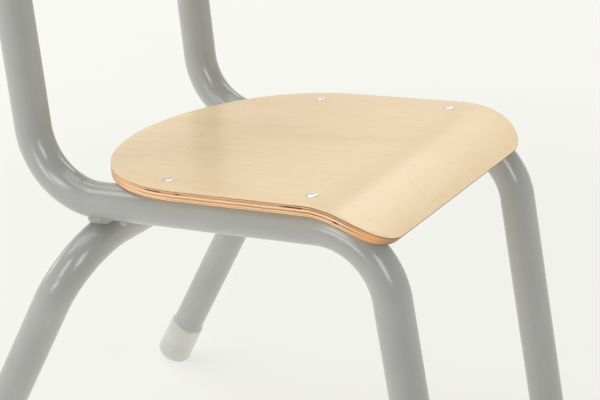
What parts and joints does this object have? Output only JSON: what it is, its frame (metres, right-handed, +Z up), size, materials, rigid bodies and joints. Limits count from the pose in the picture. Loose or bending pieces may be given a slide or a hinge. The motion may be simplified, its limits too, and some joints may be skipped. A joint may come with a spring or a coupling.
{
  "type": "stacking chair",
  "caption": "Small stacking chair with a bent steel tube frame, a moulded plywood seat with a rolled front edge, a curved plywood back and sleeve foot caps.",
  "frame": {"origin": "on the floor, under the middle of the chair's box", "axes": "+Z up, -Y the front of the chair, +X the sitter's left"},
  "size_m": [0.3146, 0.3923, 0.5285],
  "materials": {
    "powder_coat": "glossy light grey powder coat",
    "plywood": "clear lacquered pale veneer with the plies showing at the edges",
    "rivet_aluminium": "plain domed rivet head",
    "mandrel_steel": "plain steel",
    "cap_plastic": "cloudy soft plastic",
    "plug_plastic": "grey moulded plastic"
  },
  "bodies": {
    "root": {"back_rivet_lower_left": "rivet_aluminium", "back_rivet_lower_right": "rivet_aluminium", "back_rivet_mandrel_lower_left": "mandrel_steel", "back_rivet_mandrel_lower_right": "mandrel_steel", "back_rivet_mandrel_upper_left": "mandrel_steel", "back_rivet_mandrel_upper_right": "mandrel_steel", "back_rivet_upper_left": "rivet_aluminium", "back_rivet_upper_right": "rivet_aluminium", "backrest_panel": "plywood", "cross_weld_left": "powder_coat", "cross_weld_right": "powder_coat", "foot_cap_front_left": "cap_plastic", "foot_cap_front_right": "cap_plastic", "foot_cap_rear_left": "cap_plastic", "foot_cap_rear_right": "cap_plastic", "front_cross_tube": "powder_coat", "rear_leg_frame": "powder_coat", "rear_weld_left": "powder_coat", "rear_weld_right": "powder_coat", "seat_panel": "plywood", "seat_rivet_front_left": "rivet_aluminium", "seat_rivet_front_right": "rivet_aluminium", "seat_rivet_mandrel_front_left": "mandrel_steel", "seat_rivet_mandrel_front_right": "mandrel_steel", "seat_rivet_mandrel_rear_left": "mandrel_steel", "seat_rivet_mandrel_rear_right": "mandrel_steel", "seat_rivet_rear_left": "rivet_aluminium", "seat_rivet_rear_right": "rivet_aluminium", "side_tube_left": "powder_coat", "side_tube_right": "powder_coat", "upright_plug_left": "plug_plastic", "upright_plug_right": "plug_plastic"}
  },
  "joints": []
}
